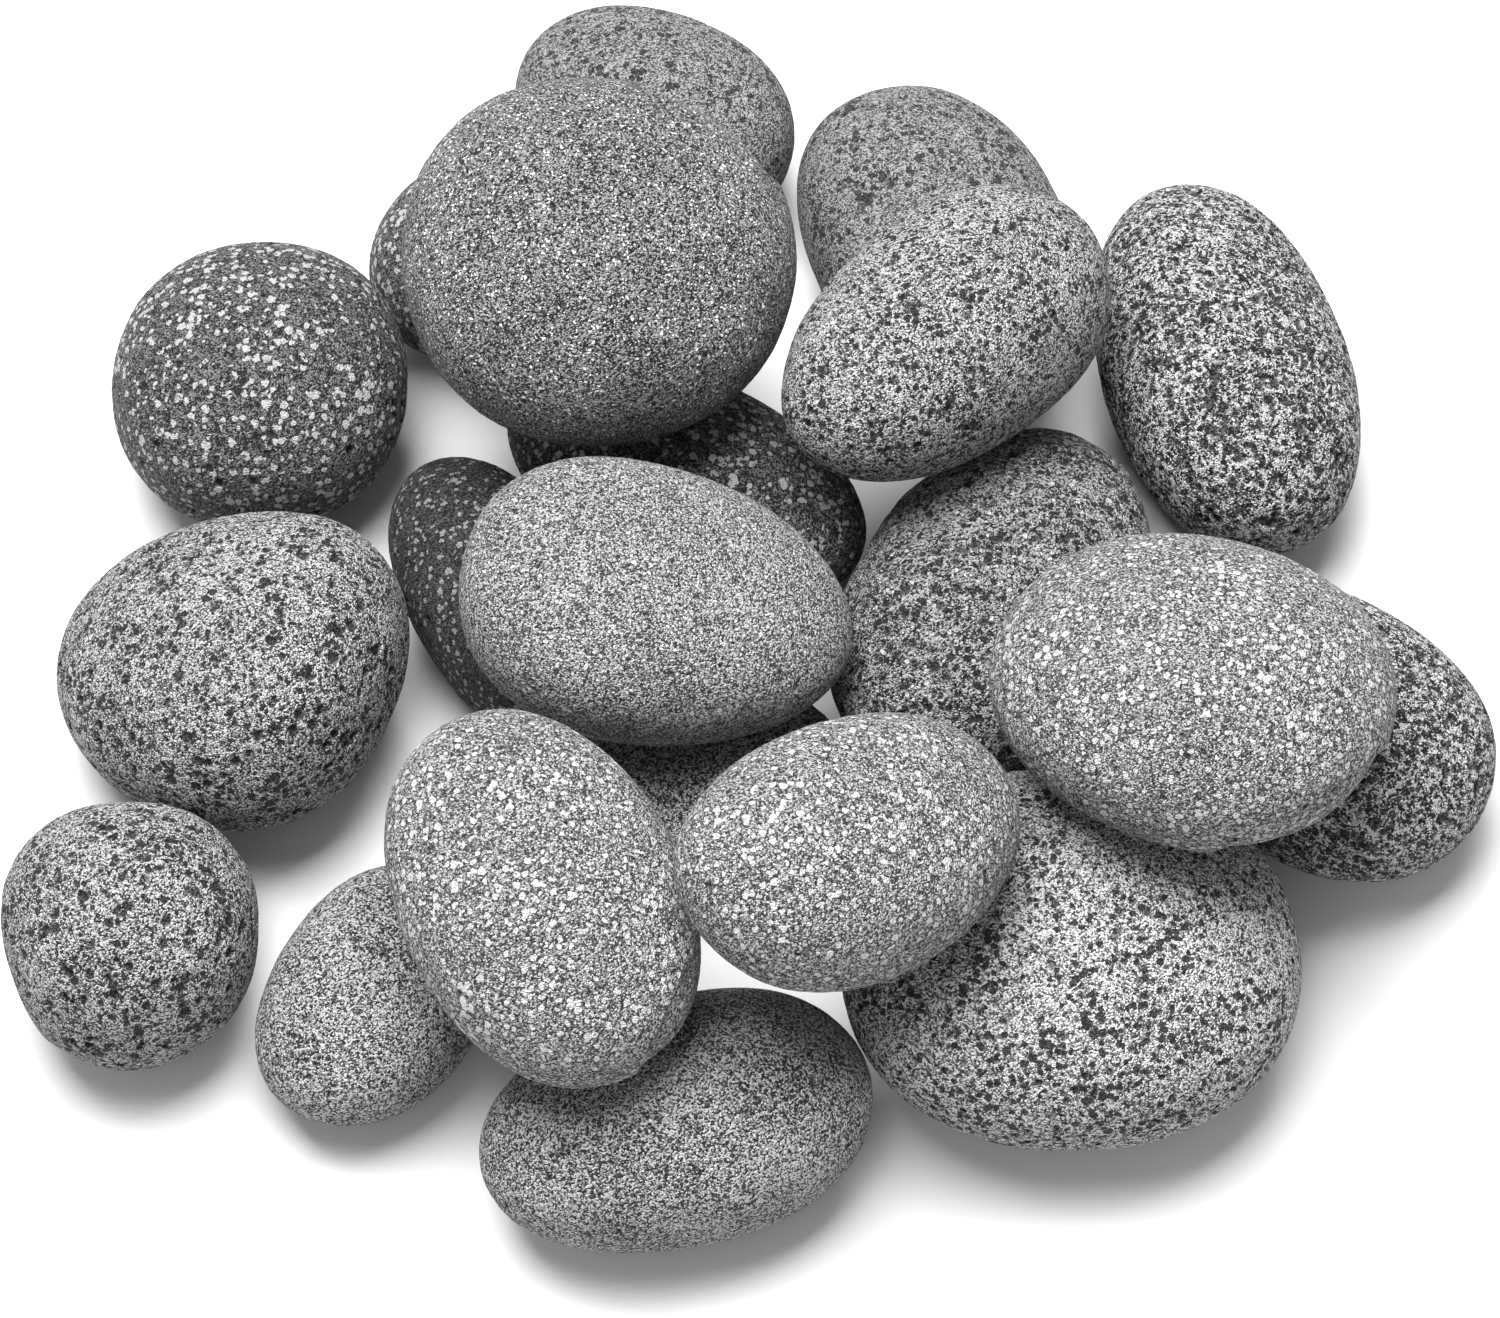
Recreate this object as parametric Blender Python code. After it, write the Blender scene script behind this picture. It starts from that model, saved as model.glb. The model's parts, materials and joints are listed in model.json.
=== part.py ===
"""A heap of loose tumbled basalt massage stones, stacked by hand on a flat surface.

Every stone is one convex solid, shaped in its own axes: X along its length, Y across its
width, Z through its thickness. The stones on the floor are laid first, each one slid along
the floor up to a neighbour. The upper stones are then lowered onto them, one by one, and
rocked until they rest. The heap is centred on the origin, with the floor at Z = 0.
"""
import itertools
import math

import bmesh
import bpy
import numpy as np
from mathutils import Euler, Matrix, Vector

MM = 0.001

# Clearances, in millimetres
STONE_GAP = 0.4           # left between two stones that touch
BED_DEPTH = 0.7           # height worn off the underside of a stone that lies on the floor

# What all the stones have in common
OUTLINE_POWER = 2.15      # 2 is an ellipse seen from above, more is a squarer outline
PROFILE_POWER = 2.2       # the same, seen from the side
SWELLINGS = 5             # broad waves laid over the surface
SWELLING_HEIGHT = 0.012   # height of one wave, as a share of the radius
SWELLING_TURNS = 2.6      # angle in radians that one wave spans from the middle to the rim
CELLS_PER_SIDE = 6        # grid cells along a side of each of the six faces of the grid
SHORTEST_EDGE = 0.2       # millimetres, below which two corners of a worn bed become one

# Rocking of an upper stone as it comes to rest
FIRST_ROCK = 4.0          # degrees of the first step, halved whenever no step helps
LAST_ROCK = 0.5           # degrees of the smallest step
MOST_ROCK = 14.0          # degrees from the stone's own pose, at most
LOWER_BY_AT_LEAST = 0.001   # millimetres that a rock must lower the stone's centre

FAR_AWAY = 1.0            # metres between a stone and its neighbour before it is moved in
ON_PLANE = 1e-7           # metres within which a corner lies on a cutting plane
SIDEWAYS = 1e-9           # least slope of a face against the travel to be met by it

# Stones lying on the floor. Lengths are in millimetres and angles in degrees. Heading is the
# direction of the long axis, from +X towards +Y, pitch lifts its far end and roll lifts its
# left side. Blunt makes the far end fuller than the near one, or slimmer when negative.
# A stone comes in on its bearing from the stone it lies beside, and stops standoff short of
# the first stone that it meets.
FIRST_STONE = dict(name="core_right_stone", length=94, width=68, thickness=52,
                   heading=62, blunt=-0.06, tone="grey")
FLOOR_STONES = [
    dict(name="core_rear_stone", length=90, width=50, thickness=42,
         heading=-32, tone="dark",
         beside="core_right_stone", bearing=152, standoff=1),
    dict(name="core_front_stone", length=60, width=46, thickness=36,
         heading=15, tone="grey",
         beside="core_right_stone", bearing=-147, standoff=0),
    dict(name="core_left_stone", length=78, width=42, thickness=42,
         heading=120, tone="dark",
         beside="core_rear_stone", bearing=-142, standoff=1),
    dict(name="rear_corner_stone", length=48, width=44, thickness=42,
         heading=60, tone="dark",
         beside="core_rear_stone", bearing=130, standoff=15),
    dict(name="left_rear_stone", length=73, width=69, thickness=52,
         heading=90, tone="dark",
         beside="core_rear_stone", bearing=167, standoff=0),
    dict(name="left_stone", length=80, width=75, thickness=55,
         heading=165, pitch=-14, roll=6, blunt=-0.17, tone="grey",
         beside="core_left_stone", bearing=-160, standoff=0),
    dict(name="front_left_stone", length=58, width=55, thickness=54,
         heading=100, tone="grey",
         beside="left_stone", bearing=-104, standoff=0),
    dict(name="front_left_inner_stone", length=63, width=46, thickness=36,
         heading=62, tone="dark",
         beside="left_stone", bearing=-64, standoff=2),
    dict(name="front_right_stone", length=96, width=86, thickness=54,
         heading=4, tone="grey",
         beside="core_right_stone", bearing=-82, standoff=0),
    dict(name="front_stone", length=82, width=54, thickness=44,
         heading=18, blunt=0.05, tone="grey",
         beside="core_front_stone", bearing=-96, standoff=0),
    dict(name="right_stone", length=82, width=64, thickness=46,
         heading=-38, tone="dark",
         beside="core_right_stone", bearing=-23, standoff=1),
    dict(name="right_rear_stone", length=102, width=57, thickness=48,
         heading=102, blunt=-0.07, tone="dark",
         beside="core_right_stone", bearing=52, standoff=4),
    dict(name="rear_right_stone", length=88, width=60, thickness=46,
         heading=110, tone="pale",
         beside="core_right_stone", bearing=96, standoff=14),
    dict(name="rear_left_stone", length=70, width=56, thickness=44,
         heading=150, blunt=-0.05, tone="pale",
         beside="core_rear_stone", bearing=95, standoff=4),
]
# Stones lying on the others. Each is lowered with its centre over the middle of the named
# stones, moved by shift.
UPPER_STONES = [
    dict(name="top_centre_stone", length=86, width=65, thickness=42,
         heading=-5, blunt=-0.13, tone="pale",
         over=("core_left_stone", "core_right_stone"), shift=(-20, -20)),
    dict(name="top_rear_left_stone", length=86, width=86, thickness=60,
         heading=0, roll=20, tone="grey",
         over=("core_left_stone", "rear_left_stone"), shift=(7, -11)),
    dict(name="top_rear_right_stone", length=86, width=55, thickness=50,
         heading=47, blunt=0.08, tone="grey",
         over=("core_right_stone", "rear_right_stone"), shift=(-7, -6)),
    dict(name="top_right_stone", length=86, width=78, thickness=46,
         heading=-25, blunt=0.05, tone="pale",
         over=("core_right_stone", "right_stone"), shift=(2, -31)),
    dict(name="top_front_left_stone", length=86, width=58, thickness=42,
         heading=-62, pitch=-20, blunt=0.05, tone="pale",
         over=("core_front_stone", "front_left_inner_stone"), shift=(1, -25)),
    dict(name="top_front_stone", length=76, width=56, thickness=40,
         heading=35, blunt=-0.05, tone="pale",
         over=("core_front_stone", "front_right_stone"), shift=(-9, -23)),
]
LEVEL_AND_EVEN = dict(pitch=0, roll=0, blunt=0)

# Colour of the stone as linear light, roughness
TONES = {
    "pale": ((0.31, 0.31, 0.305), 0.82),
    "grey": ((0.2, 0.2, 0.198), 0.85),
    "dark": ((0.085, 0.085, 0.084), 0.8),
}


def cube_directions(cells):
    """Unit vectors on the six faces of a cube, spaced by equal angles along each side."""
    steps = np.tan(np.linspace(-math.pi / 4, math.pi / 4, cells + 1))
    across, along = (grid.ravel() for grid in np.meshgrid(steps, steps))
    faces = []
    for axis, side in itertools.product(range(3), (-1.0, 1.0)):
        face = np.full((len(across), 3), side)
        face[:, (axis + 1) % 3] = across
        face[:, (axis + 2) % 3] = along
        faces.append(face)
    points = np.unique(np.round(np.concatenate(faces), 9), axis=0)
    return points / np.linalg.norm(points, axis=1)[:, None]


def stone_points(stone, seed):
    """Points on a tumbled stone: a full ellipsoid with an egg taper and broad swellings."""
    directions = cube_directions(CELLS_PER_SIDE)
    across = (np.abs(directions[:, :2]) ** OUTLINE_POWER).sum(axis=1) ** (1 / OUTLINE_POWER)
    upward = np.abs(directions[:, 2])
    radius = (across ** PROFILE_POWER + upward ** PROFILE_POWER) ** (-1 / PROFILE_POWER)
    chance = np.random.default_rng(seed)
    for _ in range(SWELLINGS):
        axis = chance.normal(size=3)
        axis /= np.linalg.norm(axis)
        phase = chance.uniform(0, 2 * math.pi)
        radius *= 1 + SWELLING_HEIGHT * np.cos(SWELLING_TURNS * directions @ axis + phase)
    points = directions * radius[:, None]
    points[:, 1:] *= (1 + stone["blunt"] * points[:, 0])[:, None]
    sizes = np.array([stone["length"], stone["width"], stone["thickness"]])
    return points * sizes * MM / 2


def turn_matrix(stone):
    """Turn from a stone's own axes to the heap's: roll first, then pitch, then heading."""
    roll, pitch, heading = (math.radians(stone[key]) for key in ("roll", "pitch", "heading"))
    return Euler((roll, -pitch, heading), "XYZ").to_matrix()


def hull_mesh(points):
    """Convex hull of the points, as a closed mesh of triangles."""
    mesh = bmesh.new()
    for point in points:
        mesh.verts.new(point)
    hull = bmesh.ops.convex_hull(mesh, input=mesh.verts)
    inside = [item for item in hull["geom_interior"] if isinstance(item, bmesh.types.BMVert)]
    bmesh.ops.delete(mesh, geom=inside, context="VERTS")
    return mesh


def wear_bed(mesh, turn):
    """Cut off the lowest part of the stone as it lies, which leaves its flat bed."""
    down = turn.transposed() @ Vector((0, 0, -1))
    lowest = max(vert.co @ down for vert in mesh.verts)
    everything = [*mesh.verts, *mesh.edges, *mesh.faces]
    bmesh.ops.bisect_plane(mesh, geom=everything, dist=ON_PLANE, clear_outer=True,
                           plane_co=down * (lowest - BED_DEPTH * MM), plane_no=down)
    rim = [edge for edge in mesh.edges if edge.is_boundary]
    bmesh.ops.edgeloop_fill(mesh, edges=rim)
    bmesh.ops.remove_doubles(mesh, verts=mesh.verts, dist=SHORTEST_EDGE * MM)
    bmesh.ops.triangulate(mesh, faces=mesh.faces)
    bmesh.ops.recalc_face_normals(mesh, faces=mesh.faces)


class Solid:
    """A convex stone turned to its pose: points about its own centre, and that centre."""

    def __init__(self, points, faces):
        self.points = points
        self.faces = faces
        self.centre = np.zeros(3)
        first, second, third = (points[faces[:, corner]] for corner in range(3))
        normals = np.cross(second - first, third - first)
        self.normals = normals / np.linalg.norm(normals, axis=1)[:, None]
        self.offsets = (self.normals * first).sum(axis=1)
        self.samples = np.concatenate([points, (first + second) / 2])
        self.reach = np.linalg.norm(points, axis=1).max()

    def rocked(self, turn):
        return Solid(self.points @ turn.T, self.faces)


def solid_from_mesh(mesh, turn):
    mesh.verts.ensure_lookup_table()
    mesh.verts.index_update()
    own = np.array([vert.co[:] for vert in mesh.verts])
    faces = np.array([[vert.index for vert in face.verts] for face in mesh.faces])
    return Solid(own @ np.array(turn).T, faces)


def entry_distance(points, solid, direction):
    """Least travel along direction that brings a point within the gap of the solid."""
    slopes = solid.normals @ direction
    room = solid.offsets + STONE_GAP * MM - points @ solid.normals.T
    facing = slopes < -SIDEWAYS
    trailing = slopes > SIDEWAYS
    enters = (room[:, facing] / slopes[facing]).max(axis=1)
    leaves = (room[:, trailing] / slopes[trailing]).min(axis=1)
    met = enters[enters < leaves]
    return met.min() if len(met) else math.inf


def free_travel(moving, laid, direction):
    """How far a stone can go along direction before it meets a stone that is laid."""
    travel = math.inf
    for other in laid.values():
        apart = other.centre - moving.centre
        sideways = apart - direction * (apart @ direction)
        if np.linalg.norm(sideways) < moving.reach + other.reach:
            travel = min(travel,
                         entry_distance(moving.samples - apart, other, direction),
                         entry_distance(other.samples + apart, moving, -direction))
    return travel


def slide_up(solid, stone, laid):
    """Slide a floor stone towards the stone it lies beside until it meets one."""
    bearing = math.radians(stone["bearing"])
    outward = np.array([math.cos(bearing), math.sin(bearing), 0.0])
    solid.centre = laid[stone["beside"]].centre + FAR_AWAY * outward
    solid.centre[2] = -solid.points[:, 2].min()
    travel = free_travel(solid, laid, -outward)
    solid.centre -= (travel - stone["standoff"] * MM) * outward


def rock_matrix(about_x, about_y):
    return np.array(Euler((math.radians(about_x), math.radians(about_y), 0), "XYZ").to_matrix())


def lower_onto(solid, stone, laid):
    """Lower a stone from above, rocked to the tilt at which its centre comes lowest."""
    down = np.array([0.0, 0.0, -1.0])
    start = np.mean([laid[name].centre for name in stone["over"]], axis=0)
    start[:2] += np.array(stone["shift"]) * MM
    start[2] = FAR_AWAY

    def lowered(rock):
        candidate = solid.rocked(rock_matrix(*rock))
        candidate.centre = start.copy()
        candidate.centre += down * free_travel(candidate, laid, down)
        return candidate

    rock = (0.0, 0.0)
    resting = lowered(rock)
    step = FIRST_ROCK
    while step >= LAST_ROCK:
        tries = [(rock[0] + step, rock[1]), (rock[0] - step, rock[1]),
                 (rock[0], rock[1] + step), (rock[0], rock[1] - step)]
        allowed = [tried for tried in tries if math.hypot(*tried) <= MOST_ROCK]
        found = min(((lowered(tried), tried) for tried in allowed),
                    key=lambda pair: pair[0].centre[2])
        if found[0].centre[2] < resting.centre[2] - LOWER_BY_AT_LEAST * MM:
            resting, rock = found
        else:
            step /= 2
    return resting, Matrix(rock_matrix(*rock).tolist())


def lay_heap():
    """Shape and place every stone: its mesh, its turn and its solid, by name."""
    heap = {}
    laid = {}
    for seed, entry in enumerate([FIRST_STONE, *FLOOR_STONES, *UPPER_STONES], start=1):
        stone = {**LEVEL_AND_EVEN, **entry}
        turn = turn_matrix(stone)
        mesh = hull_mesh(stone_points(stone, seed))
        if "over" in stone:
            solid, rock = lower_onto(solid_from_mesh(mesh, turn), stone, laid)
            turn = rock @ turn
        else:
            wear_bed(mesh, turn)
            solid = solid_from_mesh(mesh, turn)
            solid.centre[2] = -solid.points[:, 2].min()
            if "beside" in stone:
                slide_up(solid, stone, laid)
        laid[stone["name"]] = solid
        heap[stone["name"]] = (mesh, turn, stone["tone"])
    return heap, laid


def heap_middle(laid):
    """Middle of the heap's outer box on the floor."""
    corners = np.concatenate([solid.points + solid.centre for solid in laid.values()])
    middle = (corners.min(axis=0) + corners.max(axis=0)) / 2
    return np.array([middle[0], middle[1], 0.0])


def basalt(name, tone):
    """Dry tumbled basalt: no metal, and rough enough to show no reflection."""
    colour, roughness = TONES[tone]
    material = bpy.data.materials.new(name)
    material.use_nodes = True
    shader = material.node_tree.nodes["Principled BSDF"]
    shader.inputs["Base Color"].default_value = (*colour, 1.0)
    shader.inputs["Roughness"].default_value = roughness
    shader.inputs["Metallic"].default_value = 0.0
    return material


def add_stone(name, mesh, turn, place, tone):
    data = bpy.data.meshes.new(name)
    mesh.to_mesh(data)
    mesh.free()
    data.materials.append(basalt(name + "_basalt", tone))
    stone = bpy.data.objects.new(name, data)
    stone.location = place
    stone.rotation_euler = turn.to_euler()
    bpy.context.collection.objects.link(stone)


def main():
    for old in list(bpy.data.objects):
        bpy.data.objects.remove(old)
    heap, laid = lay_heap()
    middle = heap_middle(laid)
    for name, (mesh, turn, tone) in heap.items():
        add_stone(name, mesh, turn, laid[name].centre - middle, tone)
    bpy.context.view_layer.update()


main()
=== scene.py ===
import itertools
import json
import math

import bpy
import numpy as np
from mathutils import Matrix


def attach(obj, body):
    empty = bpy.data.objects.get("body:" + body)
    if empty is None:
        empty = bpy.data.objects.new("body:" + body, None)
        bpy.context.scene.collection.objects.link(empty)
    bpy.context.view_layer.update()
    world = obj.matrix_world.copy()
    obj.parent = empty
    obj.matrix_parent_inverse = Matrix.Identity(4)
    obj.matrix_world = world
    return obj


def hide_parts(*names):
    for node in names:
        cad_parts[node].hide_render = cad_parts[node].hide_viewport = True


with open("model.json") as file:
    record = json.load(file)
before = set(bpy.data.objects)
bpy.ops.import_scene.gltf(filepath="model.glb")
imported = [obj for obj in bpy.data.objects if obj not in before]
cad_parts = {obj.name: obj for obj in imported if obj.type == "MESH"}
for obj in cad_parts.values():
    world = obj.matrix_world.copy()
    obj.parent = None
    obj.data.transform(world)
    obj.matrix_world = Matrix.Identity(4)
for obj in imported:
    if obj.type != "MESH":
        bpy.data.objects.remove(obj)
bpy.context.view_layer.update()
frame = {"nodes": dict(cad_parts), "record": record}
print("frame loaded,", len(frame["nodes"]), "stones")

mm = 0.001
digits = 7   # decimals that tell two points apart


def linear(hexColour):
    # sRGB hex to linear light
    parts = [int(hexColour[i:i + 2], 16) / 255 for i in (0, 2, 4)]
    return tuple(p / 12.92 if p <= 0.04045 else ((p + 0.055) / 1.055) ** 2.4 for p in parts) + (1.0,)


# Surfaces are worked out on whole arrays of points, with lengths in metres

def cubeSphere(cells):
    # Unit directions over a sphere: each face of a cube is a grid of two angles u and v from
    # -45 to 45 degrees, and the point (1, tan u, tan v) on it is divided by its length.
    # Points shared by two faces are merged, and each grid cell becomes one quad.
    steps = np.tan(np.linspace(-math.pi / 4, math.pi / 4, cells + 1))
    u, v = np.meshgrid(steps, steps, indexing="ij")
    faces = []
    for axis, side in itertools.product(range(3), (1.0, -1.0)):
        face = np.empty((cells + 1, cells + 1, 3))
        face[..., axis] = side
        face[..., (axis + 1) % 3] = u * side
        face[..., (axis + 2) % 3] = v
        faces.append(face.reshape(-1, 3))
    points = np.concatenate(faces)
    corner = np.arange(len(points)).reshape(6, cells + 1, cells + 1)
    quads = np.stack([corner[:, :-1, :-1], corner[:, 1:, :-1], corner[:, 1:, 1:], corner[:, :-1, 1:]], -1)
    first, same = np.unique(points.round(digits), axis=0, return_index=True, return_inverse=True)[1:]
    directions = points[first]
    directions /= np.linalg.norm(directions, axis=1)[:, None]
    return directions, same.reshape(-1)[quads].reshape(-1, 4)


def powerTerms(directions):
    # The products x^a y^b z^c with a + b + c = 5 or 6: on a sphere they make every smooth
    # shape up to six waves round.
    x, y, z = directions.T
    terms = [x ** a * y ** b * z ** (total - a - b)
             for total in (5, 6) for a in range(total + 1) for b in range(total + 1 - a)]
    return np.stack(terms, 1)


fitting = dict(
    bed=0.02,          # mm, corners lower than this belong to the worn bed and are left out
    stiffness=1e-4,    # more gives a rounder stone that follows its corners less
)


def smoothStone(node, directions):
    # The smooth stone through the corners of its CAD solid. Seen from the middle of the
    # solid, along its own three axes and in shares of its half lengths, the distance to the
    # surface is a sum of power terms of the direction, fitted to the corners.
    data = frame["nodes"][node].data
    corners = np.empty(len(data.vertices) * 3)
    data.vertices.foreach_get("co", corners)
    corners = np.unique(corners.reshape(-1, 3).round(digits), axis=0)
    free = corners[corners[:, 2] > fitting["bed"] * mm]
    axes = np.linalg.svd(corners - corners.mean(0), full_matrices=False)[2]
    if np.linalg.det(axes) < 0:
        axes[2] *= -1
    along = corners @ axes.T
    middle = (along.min(0) + along.max(0)) / 2
    half = (along.max(0) - along.min(0)) / 2
    known = (free @ axes.T - middle) / half
    reach = np.linalg.norm(known, axis=1)
    terms = powerTerms(known / reach[:, None])
    square = terms.T @ terms + fitting["stiffness"] * np.eye(terms.shape[1])
    weights = np.linalg.solve(square, terms.T @ reach)
    radius = powerTerms(directions) @ weights
    return (directions * radius[:, None] * half + middle) @ axes


def surfaceNormals(points, quads):
    # Each quad's normal is the cross product of its diagonals, shared out to its corners.
    a, b, c, d = (points[quads[:, k]] for k in range(4))
    faceNormals = np.cross(c - a, d - b)
    normals = np.stack([np.bincount(quads.ravel(), np.repeat(faceNormals[:, k], 4), len(points))
                        for k in range(3)], 1)
    return normals / np.linalg.norm(normals, axis=1)[:, None]


def chance(cell, seed):
    # A steady random number from 0 to 1 for each whole-number cell: its three numbers and
    # the seed, each times a large number, are added up, and the sum is stirred by shifts
    # and products that keep its lowest 32 bits.
    factors = (374761393, 668265263, 1442695041)
    seedFactor = 974634777
    stirs = ((15, 2246822519), (13, 3266489917))
    lastShift = 16
    lowBits = 0xffffffff
    h = sum(cell[..., k].astype(np.int64).astype(np.uint64) * np.uint64(factors[k]) for k in range(3))
    h = (h + np.uint64(seed * seedFactor)) & np.uint64(lowBits)
    for shift, factor in stirs:
        h = ((h ^ (h >> np.uint64(shift))) * np.uint64(factor)) & np.uint64(lowBits)
    return (h ^ (h >> np.uint64(lastShift))).astype(float) / lowBits


def waves(points, size, seed):
    # Smooth noise from 0 to 1: random numbers on the corners of cubes of that size, blended
    # by s = f f (3 - 2 f) of the place f inside the cube.
    place = points / size
    cell = np.floor(place)
    f = place - cell
    s = f * f * (3 - 2 * f)
    total = np.zeros(len(points))
    for corner in itertools.product((0, 1), repeat=3):
        weight = np.where(corner, s, 1 - s).prod(1)
        total += weight * chance(cell + corner, seed)
    return total


def bubbles(points, normals, spacing, smallest, largest, share, seed):
    # Gas bubbles cut open by the surface. Each cube of that spacing holds one ball at a
    # random place and of random radius. Where a point lies inside a ball, the depth is the
    # way straight in from the surface to the ball's far wall.
    depth = np.zeros(len(points))
    cell = np.floor(points / spacing)
    for step in itertools.product((-1, 0, 1), repeat=3):
        near = cell + step
        ball = (near + np.stack([chance(near, seed + n) for n in (1, 2, 3)], 1)) * spacing
        radius = smallest + (largest - smallest) * chance(near, seed + 4) ** 2
        there = chance(near, seed + 5) < share
        away = ball - points
        along = (away * normals).sum(1)
        within = radius ** 2 - (away ** 2).sum(1)
        hit = there & (within > 0)
        depth[hit] = np.maximum(depth[hit], np.sqrt(along[hit] ** 2 + within[hit]) - along[hit])
    return depth


def ledgeDrop(points, direction, share, drop):
    # 0 below the ledge and drop above it, blended by s s (3 - 2 s) over a narrow band
    band = 0.04
    middle = (points.max(0) + points.min(0)) / 2
    reach = (points - middle) @ (np.array(direction) / np.linalg.norm(direction))
    s = np.clip((reach / reach.max() - share) / band, 0, 1)
    return drop * s * s * (3 - 2 * s)


def makeMesh(name, points, quads, poreShade):
    # One smooth mesh of quads, which keeps for each of its points the painted shade of its pore, from how
    # deep in it the point lies
    data = bpy.data.meshes.new(name)
    data.vertices.add(len(points))
    data.vertices.foreach_set("co", points.ravel())
    data.loops.add(quads.size)
    data.loops.foreach_set("vertex_index", quads.ravel())
    data.polygons.add(len(quads))
    data.polygons.foreach_set("loop_start", np.arange(0, quads.size, 4))
    data.update(calc_edges=True)
    data.polygons.foreach_set("use_smooth", np.ones(len(quads), bool))
    data.attributes.new("poreShade", "FLOAT", "POINT").data.foreach_set("value", poreShade)
    stone = bpy.data.objects.new(name, data)
    bpy.context.collection.objects.link(stone)
    return stone


def addNode(tree, kind, settings=None, links=None):
    # A shader node, the values of its settings or inputs, and what its inputs are linked to
    node = tree.nodes.new(kind)
    for key, value in (settings or {}).items():
        if isinstance(key, str) and hasattr(node, key):
            setattr(node, key, value)
        else:
            node.inputs[key].default_value = value
    for key, source in (links or {}).items():
        tree.links.new(source, node.inputs[key])
    return node
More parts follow.
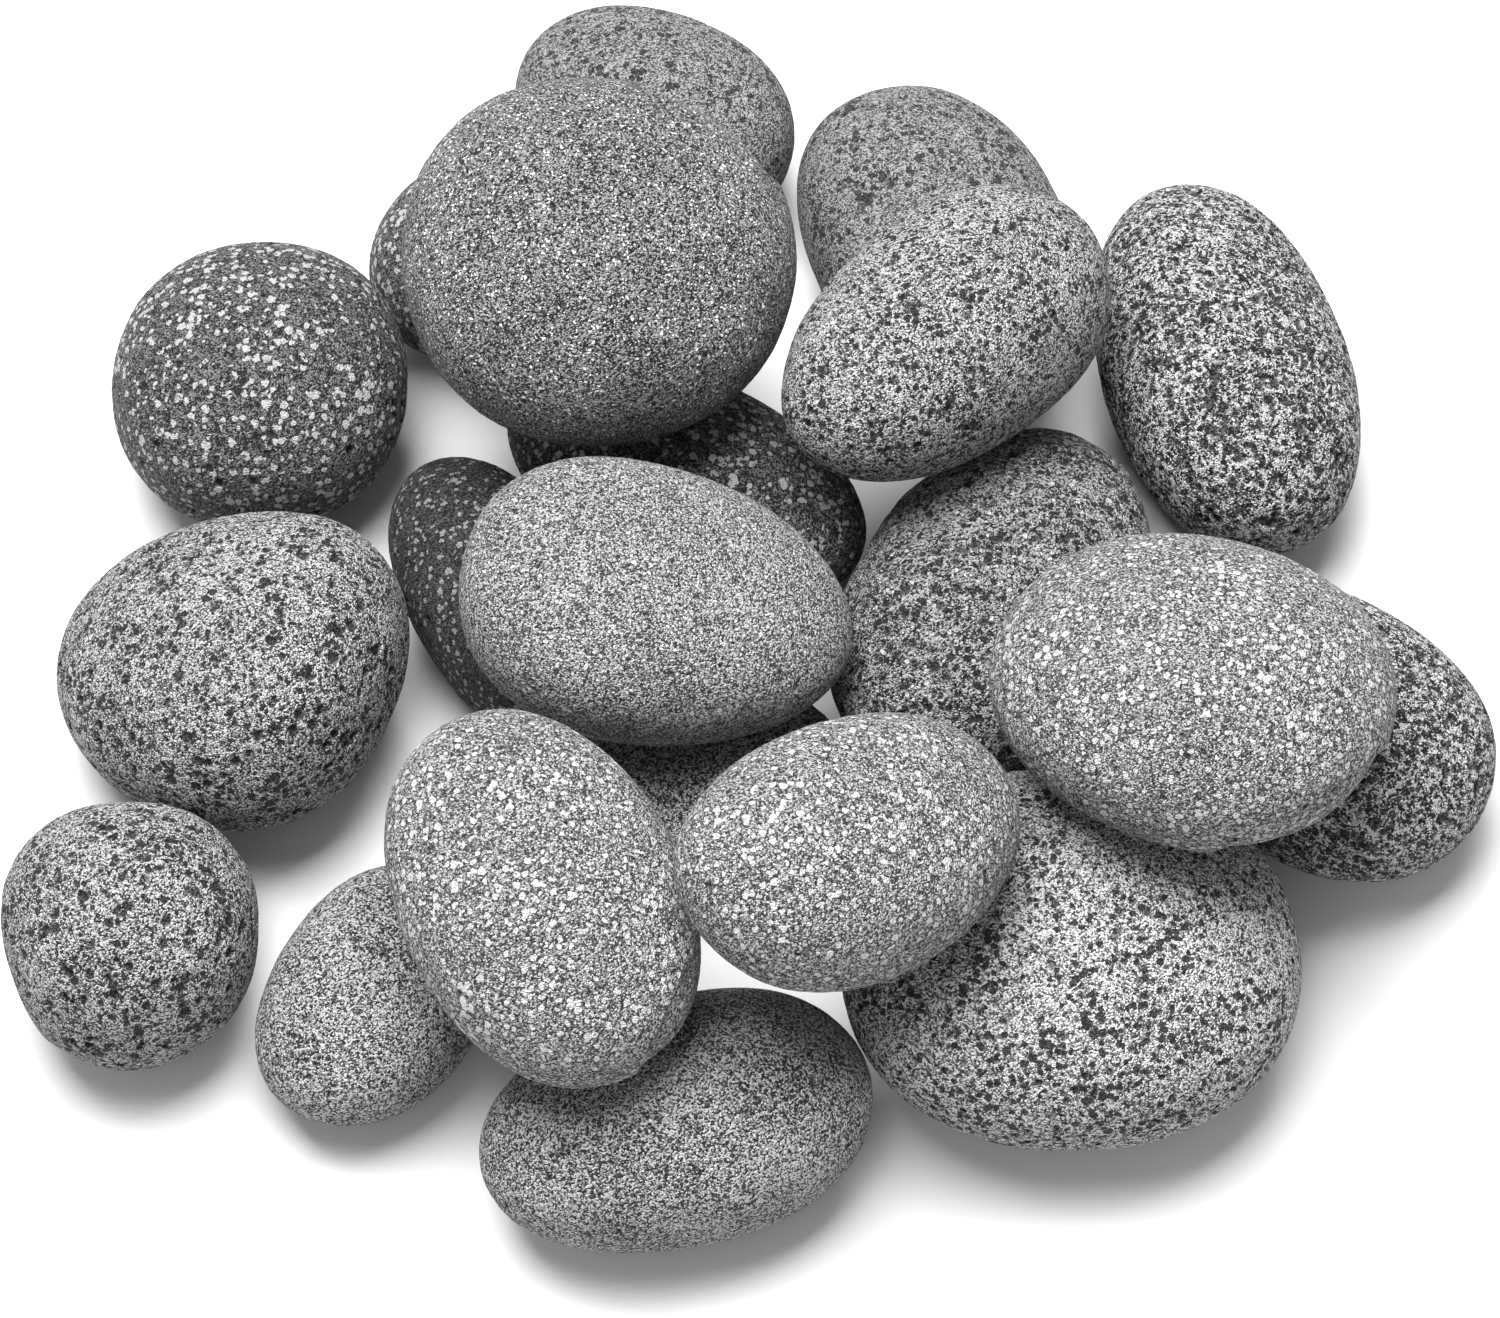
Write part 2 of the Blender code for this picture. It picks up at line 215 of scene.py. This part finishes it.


# Sizes in millimetres. Dark and light are the tones between which the crystals of the
# groundmass lie, and grain is their size. Patches of patchSize and broad areas shift them
# towards one tone, and relief is how high the worn surface stands. Flecks are pale feldspar
# grains, each in a dark line of painted shade round its foot, and pores the open bubbles
# that are too fine for the mesh, painted dark as the shade inside them, in groups of the
# size cluster. Both have their spacing, their radius as a share of that, the share of
# places that hold one, and how much each covers.
finishes = {
    # Dark fine stone thickly set with small white feldspar grains, like salt and pepper
    "fleckedBasalt": dict(
        dark="080808", light="8e8e8e", grain=0.34, patch=0.25, patchSize=1.2, broad=0.5,
        fleck="dadada", outline=0.6, flecks=dict(spacing=0.9, radius=0.3, share=0.6, cover=0.9),
        cluster=9, pores=dict(spacing=1.2, radius=0.3, share=0.6, cover=0.9),
        relief=0.6, roughness=0.82),
    # Painted shade: a darkened version of the white-grained finish, nearly black with dull grey grains, for
    # a stone that lies in shade deep in the heap and stays in the background
    "shadedWhiteGrainedBasalt": dict(
        dark="040404", light="484848", grain=0.34, patch=0.3, patchSize=1.4, broad=0.4,
        fleck="8c8c8c", outline=0.6, flecks=dict(spacing=1.9, radius=0.36, share=0.7, cover=0.8),
        cluster=8, pores=dict(spacing=1.5, radius=0.32, share=0.7, cover=0.9),
        relief=0.6, roughness=0.8),
    # Dark stone whose large pale grains stand out one by one
    "whiteGrainedBasalt": dict(
        dark="070707", light="747474", grain=0.34, patch=0.3, patchSize=1.4, broad=0.4,
        fleck="b4b4b4", outline=0.6, flecks=dict(spacing=2.2, radius=0.4, share=0.85, cover=0.8),
        cluster=8, pores=dict(spacing=1.5, radius=0.32, share=0.7, cover=0.9),
        relief=0.6, roughness=0.8),
    # Mid-grey stone with scattered open pores, the plain look of tumbled basalt
    "porousBasalt": dict(
        dark="202020", light="b4b4b4", grain=0.34, patch=0.35, patchSize=1.3, broad=0.6,
        fleck="d0d0d0", outline=0.4, flecks=dict(spacing=1.1, radius=0.28, share=0.4, cover=0.8),
        cluster=7, pores=dict(spacing=1.8, radius=0.38, share=0.7, cover=1),
        relief=0.6, roughness=0.86),
    # Darker, uneven grey with pores in groups, which looks rough and little worn
    "lumpyBasalt": dict(
        dark="141414", light="a0a0a0", grain=0.36, patch=0.7, patchSize=1.8, broad=0.8,
        fleck="c8c8c8", outline=0.4, flecks=dict(spacing=1.3, radius=0.3, share=0.45, cover=0.8),
        cluster=6, pores=dict(spacing=1.9, radius=0.38, share=0.75, cover=1),
        relief=0.7, roughness=0.86),
    # Light stone peppered all over with round black pores, like a sponge
    "densePoredBasalt": dict(
        dark="3c3c3c", light="c6c6c6", grain=0.34, patch=0.25, patchSize=1.6, broad=0.3,
        fleck="c8c8c8", outline=0, flecks=dict(spacing=1.5, radius=0.3, share=0.4, cover=0.6),
        cluster=14, pores=dict(spacing=1.75, radius=0.4, share=0.85, cover=1),
        relief=0.5, roughness=0.86),
    # Black and pale grey in coarse blotches with bright specks, the strongest pattern
    "mottledBasalt": dict(
        dark="040404", light="b4b4b4", grain=0.36, patch=1.8, patchSize=1.4, broad=0.4,
        fleck="dadada", outline=0.3, flecks=dict(spacing=1, radius=0.3, share=0.45, cover=0.9),
        cluster=6, pores=dict(spacing=1.6, radius=0.4, share=0.75, cover=0.95),
        relief=0.6, roughness=0.84),
    # Pale stone of round light grains in thin dark lines of painted shade, like fine pebbledash
    "paleGrainedBasalt": dict(
        dark="323232", light="aaaaaa", grain=0.34, patch=0.25, patchSize=1.2, broad=0.3,
        fleck="d2d2d2", outline=0.7, flecks=dict(spacing=1.8, radius=0.38, share=0.85, cover=0.65),
        cluster=10, pores=dict(spacing=1.1, radius=0.26, share=0.5, cover=0.8),
        relief=0.6, roughness=0.84),
    # Pale, even stone of fine grain, which looks smooth and soft
    "paleFineBasalt": dict(
        dark="2e2e2e", light="a8a8a8", grain=0.34, patch=0.25, patchSize=1.1, broad=0.4,
        fleck="cccccc", outline=0.6, flecks=dict(spacing=1.2, radius=0.32, share=0.6, cover=0.7),
        cluster=12, pores=dict(spacing=1.1, radius=0.26, share=0.55, cover=0.8),
        relief=0.55, roughness=0.85),
    # Fine-grained grey that is lighter and darker in broad areas
    "fineGreyBasalt": dict(
        dark="202020", light="b4b4b4", grain=0.34, patch=0.3, patchSize=1.1, broad=0.8,
        fleck="cccccc", outline=0.4, flecks=dict(spacing=1, radius=0.28, share=0.4, cover=0.8),
        cluster=14, pores=dict(spacing=1.2, radius=0.32, share=0.65, cover=0.9),
        relief=0.6, roughness=0.85),
    # Flat, well worn grey with a few dark pores
    "smoothBasalt": dict(
        dark="2a2a2a", light="8c8c8c", grain=0.34, patch=0.4, patchSize=2, broad=0.4,
        fleck="989898", outline=0.2, flecks=dict(spacing=1.9, radius=0.3, share=0.4, cover=0.5),
        cluster=10, pores=dict(spacing=2, radius=0.38, share=0.7, cover=0.9),
        relief=0.4, roughness=0.82),
}


pattern = dict(
    contrast=1.9,             # how far the crystals part into dark and light ones
    darkShare=1.5,            # above 1, more of them are dark than light
    patchReach=3,             # how far a patch of strength 1 shifts the tone
    broadSize=16,             # mm, size of the broad lighter and darker areas
    warpSize=0.9,             # mm, size of the bends that keep the grains from being round
    warp=1.2,                 # mm, how far they bend
    spread=0.85,              # 0 sets the spots in a regular grid, 1 quite at random
    fray=0.6,                 # how ragged the edge of a spot is
    radii=(0.6, 1.3),         # smallest and largest spot, in shares of the radius given
    deepest="060606",         # painted shade: the tone inside a pore
    outline="0c0c0c",         # tone of the line of painted shade round a grain
    finePoreShade=0.92,           # how much of its cover a fine pore keeps as painted shade
    meshPoreShade=0.85,           # how much painted shade darkens a pore of the mesh
    groundRelief=1.3,         # height of the patches, in shares of the relief
    fleckRelief=0.12,         # mm, how far the grains stand out
    poreRelief=-1.0,          # mm, how far the fine pores go in

    # Where a spot, and the larger one whose rim is its line of painted shade, fade in: the way
    # inside the radius plus the fray, which adds 0.3 on average, in shares of the spacing
    spotEdge=(0.27, 0.34),
    lineEdge=(0.12, 0.20),

    # How large the grains get from darker to lighter areas, and the pores towards a cluster
    fleckFill={"From Min": 0.3, "From Max": 0.6, "To Min": 0.75, "To Max": 1.1},
    poreFill={"From Min": 0.34, "From Max": 0.6, "To Min": 0.45, "To Max": 1.15},
)


def spots(tree, place, layout, thin, ragged):
    # Round spots: near the random point of each cell of that spacing, out to a random
    # radius, in only some of the cells. thin shrinks them and ragged, a noise of mean one
    # half, frays their edges. Gives the spots and a thin line of painted shade round each.
    cells = addNode(tree, "ShaderNodeTexVoronoi",
                    {"Scale": 1 / layout["spacing"], "Randomness": pattern["spread"]}, {"Vector": place})
    parts = addNode(tree, "ShaderNodeSeparateColor", {}, {"Color": cells.outputs["Color"]})
    least, most = pattern["radii"]
    radius = addNode(tree, "ShaderNodeMapRange",
                     {"To Min": layout["radius"] * least, "To Max": layout["radius"] * most},
                     {"Value": parts.outputs[0]})
    there = addNode(tree, "ShaderNodeMath", {"operation": "LESS_THAN", 1: layout["share"]},
                    {0: parts.outputs[1]})
    scaled = addNode(tree, "ShaderNodeMath", {"operation": "MULTIPLY"}, {0: radius.outputs[0], 1: thin})
    inside = addNode(tree, "ShaderNodeMath", {"operation": "SUBTRACT"},
                     {0: scaled.outputs[0], 1: cells.outputs["Distance"]})
    inside = addNode(tree, "ShaderNodeMath", {"operation": "MULTIPLY_ADD", 1: pattern["fray"]},
                     {0: ragged, 2: inside.outputs[0]})
    masks = []
    for start, full in (pattern["spotEdge"], pattern["lineEdge"]):
        edge = addNode(tree, "ShaderNodeMapRange",
                       {"From Min": start, "From Max": full, "interpolation_type": "SMOOTHSTEP"},
                       {"Value": inside.outputs[0]})
        masks.append(addNode(tree, "ShaderNodeMath", {"operation": "MULTIPLY"},
                             {0: edge.outputs[0], 1: there.outputs[0]}).outputs[0])
    line = addNode(tree, "ShaderNodeMath", {"operation": "SUBTRACT"}, {0: masks[1], 1: masks[0]})
    return masks[0], line.outputs[0]


def basaltMaterial(name, look):
    material = bpy.data.materials.new(name)
    material.use_nodes = True
    tree = material.node_tree
    shader = tree.nodes["Principled BSDF"]
    metres = addNode(tree, "ShaderNodeTexCoord").outputs["Object"]
    place = addNode(tree, "ShaderNodeVectorMath", {"operation": "SCALE", "Scale": 1 / mm},
                    {0: metres}).outputs[0]
    bends = addNode(tree, "ShaderNodeTexNoise", {"Scale": 1 / pattern["warpSize"], "Detail": 1.0},
                    {"Vector": place}).outputs["Color"]
    warped = addNode(tree, "ShaderNodeVectorMath", {"operation": "MULTIPLY_ADD", 1: (pattern["warp"],) * 3},
                     {0: bends, 2: place}).outputs[0]

    # Groundmass: a mosaic of crystals, each of its own tone, in patches and broad areas. The
    # three are added up, and the mean of the sum is brought to one half.
    crystals = addNode(tree, "ShaderNodeTexVoronoi", {"Scale": 1 / look["grain"]}, {"Vector": place})
    tone = addNode(tree, "ShaderNodeSeparateColor", {}, {"Color": crystals.outputs["Color"]}).outputs[0]
    ground = addNode(tree, "ShaderNodeTexNoise",
                     {"Scale": 1 / look["patchSize"], "Detail": 3.0, "Roughness": 0.6},
                     {"Vector": place}).outputs["Fac"]
    broad = addNode(tree, "ShaderNodeTexNoise", {"Scale": 1 / pattern["broadSize"], "Detail": 2.0},
                    {"Vector": place}).outputs["Fac"]
    tone = addNode(tree, "ShaderNodeMath", {"operation": "MULTIPLY", 1: pattern["contrast"]},
                   {0: tone}).outputs[0]
    patch = look["patch"] * pattern["patchReach"]
    tone = addNode(tree, "ShaderNodeMath", {"operation": "MULTIPLY_ADD", 1: patch},
                   {0: ground, 2: tone}).outputs[0]
    tone = addNode(tree, "ShaderNodeMath", {"operation": "MULTIPLY_ADD", 1: look["broad"]},
                   {0: broad, 2: tone}).outputs[0]
    middle = (patch + look["broad"] + pattern["contrast"] - 1) / 2
    tone = addNode(tree, "ShaderNodeMath", {"operation": "SUBTRACT", 1: middle, "use_clamp": True},
                   {0: tone}).outputs[0]
    tone = addNode(tree, "ShaderNodeMath", {"operation": "POWER", 1: pattern["darkShare"]},
                   {0: tone}).outputs[0]
    colour = addNode(tree, "ShaderNodeMix",
                     {"data_type": "RGBA", 6: linear(look["dark"]), 7: linear(look["light"])},
                     {0: tone}).outputs[2]

    # Pale grains, smaller in the darker areas, each in a thin line of painted shade round its foot
    fleckFill = addNode(tree, "ShaderNodeMapRange", pattern["fleckFill"], {"Value": broad}).outputs[0]
    flecks, line = spots(tree, warped, look["flecks"], fleckFill, ground)
    for mask, share, shade in ((line, look["outline"], pattern["outline"]),
                               (flecks, look["flecks"]["cover"], look["fleck"])):
        cover = addNode(tree, "ShaderNodeMath", {"operation": "MULTIPLY", 1: share}, {0: mask}).outputs[0]
        colour = addNode(tree, "ShaderNodeMix", {"data_type": "RGBA", 7: linear(shade)},
                         {0: cover, 6: colour}).outputs[2]

    # Painted shade in the pores, gathered in clusters: the fine ones here, the deeper ones from the mesh
    gather = addNode(tree, "ShaderNodeTexNoise", {"Scale": 1 / look["cluster"], "Detail": 1.5},
                     {"Vector": place}).outputs["Fac"]
    poreFill = addNode(tree, "ShaderNodeMapRange", pattern["poreFill"], {"Value": gather}).outputs[0]
    pores = spots(tree, warped, look["pores"], poreFill, ground)[0]
    deep = addNode(tree, "ShaderNodeAttribute", {"attribute_name": "poreShade"}).outputs["Fac"]
    fineShare = look["pores"]["cover"] * pattern["finePoreShade"]
    fine = addNode(tree, "ShaderNodeMath", {"operation": "MULTIPLY", 1: fineShare}, {0: pores}).outputs[0]
    coarse = addNode(tree, "ShaderNodeMath", {"operation": "MULTIPLY", 1: pattern["meshPoreShade"]},
                     {0: deep}).outputs[0]
    cover = addNode(tree, "ShaderNodeMath", {"operation": "MAXIMUM"}, {0: fine, 1: coarse}).outputs[0]
    colour = addNode(tree, "ShaderNodeMix", {"data_type": "RGBA", 7: linear(pattern["deepest"])},
                     {0: cover, 6: colour}).outputs[2]

    # Relief in millimetres: crystals and grains stand out a little, pores go in
    groundRelief = look["relief"] * pattern["groundRelief"]
    relief = addNode(tree, "ShaderNodeMath", {"operation": "MULTIPLY", 1: groundRelief},
                     {0: ground}).outputs[0]
    for height, mask in ((-look["relief"], crystals.outputs["Distance"]),
                         (pattern["fleckRelief"], flecks), (pattern["poreRelief"], pores)):
        relief = addNode(tree, "ShaderNodeMath", {"operation": "MULTIPLY_ADD", 1: height},
                         {0: mask, 2: relief}).outputs[0]
    bump = addNode(tree, "ShaderNodeBump", {"Strength": 1.0, "Distance": mm}, {"Height": relief})
    tree.links.new(colour, shader.inputs["Base Color"])
    tree.links.new(bump.outputs["Normal"], shader.inputs["Normal"])

    # The IOR of rock, with the highlight held down as on a dry, tumbled stone
    shader.inputs["Roughness"].default_value = look["roughness"]
    shader.inputs["Specular IOR Level"].default_value = 0.35
    shader.inputs["IOR"].default_value = 1.5
    return material


materials = {name: basaltMaterial(name, look) for name, look in finishes.items()}
print(len(materials), "basalt finishes made")

# cells: grid cells along a side of the cube sphere. lumps: height of its waves, in mm.
# pores: share of bubbles that are there, their spacing, smallest and largest radius, in mm.
# ledge: (direction, share, drop) where the part of the stone beyond that share of its half
# length in that direction lies lower by drop, in mm, which leaves a worn edge.
stones = {
    "rear_left_stone": dict(finish="smoothBasalt", cells=72, lumps=0.5, pores=(0.5, 3.4, 0.3, 1.0)),
    "top_rear_left_stone": dict(finish="fleckedBasalt", cells=110, lumps=0.6, pores=(0.35, 2.4, 0.3, 0.8),
                                ledge=((0.61, 0.67, 0.42), 0.88, 1.6)),
    "rear_corner_stone": dict(finish="whiteGrainedBasalt", cells=48, lumps=0.6, pores=(0.6, 2.6, 0.3, 1.0)),
    "left_rear_stone": dict(finish="whiteGrainedBasalt", cells=84, lumps=0.8, pores=(0.6, 2.6, 0.4, 1.2)),
    "left_stone": dict(finish="porousBasalt", cells=110, lumps=0.9, pores=(0.7, 2.6, 0.5, 1.5)),
    "front_left_stone": dict(finish="porousBasalt", cells=90, lumps=1.2, pores=(0.7, 2.6, 0.5, 1.5)),
    "front_left_inner_stone": dict(finish="fineGreyBasalt", cells=80, lumps=0.7, pores=(0.6, 2.4, 0.3, 0.9)),
    "front_stone": dict(finish="fineGreyBasalt", cells=88, lumps=0.5, pores=(0.4, 2.4, 0.3, 0.9)),
    "front_right_stone": dict(finish="densePoredBasalt", cells=120, lumps=0.7, pores=(0.8, 2.1, 0.45, 0.95)),
    "right_stone": dict(finish="mottledBasalt", cells=84, lumps=0.8, pores=(0.7, 2.6, 0.5, 1.5)),
    "right_rear_stone": dict(finish="mottledBasalt", cells=92, lumps=0.8, pores=(0.8, 2.3, 0.5, 1.4)),
    "rear_right_stone": dict(finish="smoothBasalt", cells=76, lumps=0.6, pores=(0.6, 3.0, 0.4, 1.3)),
    "top_rear_right_stone": dict(finish="porousBasalt", cells=96, lumps=0.7, pores=(0.6, 2.2, 0.4, 1.1)),
    # This stone lies in shade deep in the heap, so its finish carries painted shade
    "core_left_stone": dict(finish="shadedWhiteGrainedBasalt", cells=64, lumps=0.7, pores=(0.5, 2.5, 0.3, 1.0)),
    "core_rear_stone": dict(finish="whiteGrainedBasalt", cells=64, lumps=0.7, pores=(0.5, 2.5, 0.3, 1.0)),
    "core_right_stone": dict(finish="lumpyBasalt", cells=90, lumps=2.2, pores=(0.7, 2.6, 0.5, 1.5)),
    "core_front_stone": dict(finish="fineGreyBasalt", cells=48, lumps=0.8, pores=(0.5, 2.4, 0.3, 1.0)),
    "top_centre_stone": dict(finish="paleFineBasalt", cells=96, lumps=0.4, pores=(0.3, 2.2, 0.3, 0.8)),
    "top_front_left_stone": dict(finish="paleGrainedBasalt", cells=96, lumps=0.5, pores=(0.3, 2.3, 0.3, 0.8),
                                 ledge=((0.9, -0.34, -0.21), 0.84, 1.2)),
    "top_front_stone": dict(finish="paleGrainedBasalt", cells=92, lumps=0.5, pores=(0.3, 2.3, 0.3, 0.8)),
    "top_right_stone": dict(finish="paleGrainedBasalt", cells=100, lumps=0.5, pores=(0.35, 2.3, 0.3, 0.9),
                            ledge=((0.5, -0.72, -0.45), 0.80, 1.4)),
}

surface = dict(
    clearance=0.35,      # mm, how far the finest surface stays inside the smooth stone
    broadLump=13,        # mm, size of the broad waves
    smallLump=5,         # mm, size of the small ones
    smallShare=0.25,     # share of the lumps that the small ones make
    deepestPore=1.1,     # mm, depth towards which a large pore is rounded off
    fullShadeDepth=0.65,       # mm, depth from which the painted shade in a pore is as dark as it gets
    roughSize=1.3,       # mm, size of the fine roughness
    rough=0.12,          # mm, its height
)
bodyOf = {node: body for body, nodes in frame["record"]["behaviour"]["bodies"].items() for node in nodes}


def makeStone(node, look, seed):
    # The smooth stone, pressed in by lumps, a ledge, pores and fine roughness. Each noise
    # changes the stone's seed in its own way, so that no two are alike.
    directions, quads = cubeSphere(look["cells"])
    smooth = smoothStone(node, directions)
    normals = surfaceNormals(smooth, quads)
    broadLumps = waves(smooth, surface["broadLump"] * mm, seed)
    smallLumps = waves(smooth, surface["smallLump"] * mm, seed + 7)
    lumps = (1 - surface["smallShare"]) * broadLumps + surface["smallShare"] * smallLumps
    inward = surface["clearance"] * mm + look["lumps"] * mm * lumps
    if "ledge" in look:
        direction, share, drop = look["ledge"]
        inward += ledgeDrop(smooth, direction, share, drop * mm)
    share, spacing, smallest, largest = look["pores"]
    holes = bubbles(smooth, normals, spacing * mm, smallest * mm, largest * mm, share, seed * 31)
    deepest = surface["deepestPore"] * mm
    holes = deepest * (1 - np.exp(-holes / deepest))
    rough = surface["rough"] * mm * waves(smooth, surface["roughSize"] * mm, seed + 11)
    points = smooth - normals * (inward + holes + rough)[:, None]
    points[:, 2] = np.maximum(points[:, 2], 0.0)
    # Painted shade in the pores, darker the deeper a point lies in one
    poreShade = np.clip(holes / (surface["fullShadeDepth"] * mm), 0, 1)
    stone = makeMesh(node.replace("_stone", "_basalt"), points, quads, poreShade)
    stone.data.materials.append(materials[look["finish"]])
    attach(stone, bodyOf[node])
    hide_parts(node)
    return len(quads) * 2


triangles = sum(makeStone(node, look, seed) for seed, (node, look) in enumerate(stones.items(), start=1))
print(len(stones), "stones made,", triangles, "triangles")

# Metres, watts and an sRGB tone
studio = dict(
    floor="cccccc", floorSize=6.0,
    floorDrop=0.0002,    # keeps it clear of the flat undersides of the stones
    skyStrength=0.40, aim=(0, 0, 0.03),
    keyPower=52, keySize=0.9, keyPlace=(-0.16, 0.2, 1.25),
    fillPower=6, fillSize=1.2, fillPlace=(-0.3, -1.2, 1.1),
)


def areaLight(name, place, power, size):
    # A square lamp, in watts and metres, turned towards the middle of the heap
    light = bpy.data.lights.new(name, "AREA")
    light.energy = power
    light.size = size
    lamp = bpy.data.objects.new(name, light)
    lamp.location = place
    away = np.subtract(place, studio["aim"])
    lamp.rotation_euler = (math.atan2(math.hypot(away[0], away[1]), away[2]), 0,
                           math.atan2(away[0], -away[1]))
    bpy.context.collection.objects.link(lamp)


half = studio["floorSize"] / 2
floorData = bpy.data.meshes.new("studioFloor")
floorCorners = [(-half, -half, 0), (half, -half, 0), (half, half, 0), (-half, half, 0)]
floorData.from_pydata(floorCorners, [], [(0, 1, 2, 3)])
floor = bpy.data.objects.new("studioFloor", floorData)
floor.location.z = -studio["floorDrop"]
bpy.context.collection.objects.link(floor)

# Plain pale paper, so matt that only soft shadows show on it
paper = bpy.data.materials.new("whitePaper")
paper.use_nodes = True
paperShader = paper.node_tree.nodes["Principled BSDF"]
paperShader.inputs["Base Color"].default_value = linear(studio["floor"])
paperShader.inputs["Roughness"].default_value = 0.9
floorData.materials.append(paper)

world = bpy.data.worlds.new("studioSky")
world.use_nodes = True
background = world.node_tree.nodes["Background"]
background.inputs["Color"].default_value = (1, 1, 1, 1)
background.inputs["Strength"].default_value = studio["skyStrength"]
bpy.context.scene.world = world
areaLight("keyLight", studio["keyPlace"], studio["keyPower"], studio["keySize"])
areaLight("fillLight", studio["fillPlace"], studio["fillPower"], studio["fillSize"])
bpy.context.scene.view_settings.view_transform = "Standard"

# Metres, degrees above the floor, and millimetres for the lens and the sensor. Nothing
# nearer than nearest is drawn.
view = dict(target=(-0.002, -0.0264, 0.030), distance=0.9, elevation=58.0, lens=99.4, sensor=36,
            nearest=0.05)
tilt = math.radians(view["elevation"])
away = (0, -view["distance"] * math.cos(tilt), view["distance"] * math.sin(tilt))
camera = bpy.data.objects.new("camera", bpy.data.cameras.new("camera"))
camera.data.lens = view["lens"]
camera.data.sensor_width = view["sensor"]
camera.data.clip_start = view["nearest"]
camera.location = np.add(view["target"], away)
camera.rotation_euler = (math.radians(90 - view["elevation"]), 0, 0)
bpy.context.collection.objects.link(camera)
bpy.context.scene.camera = camera
print("studio ready")
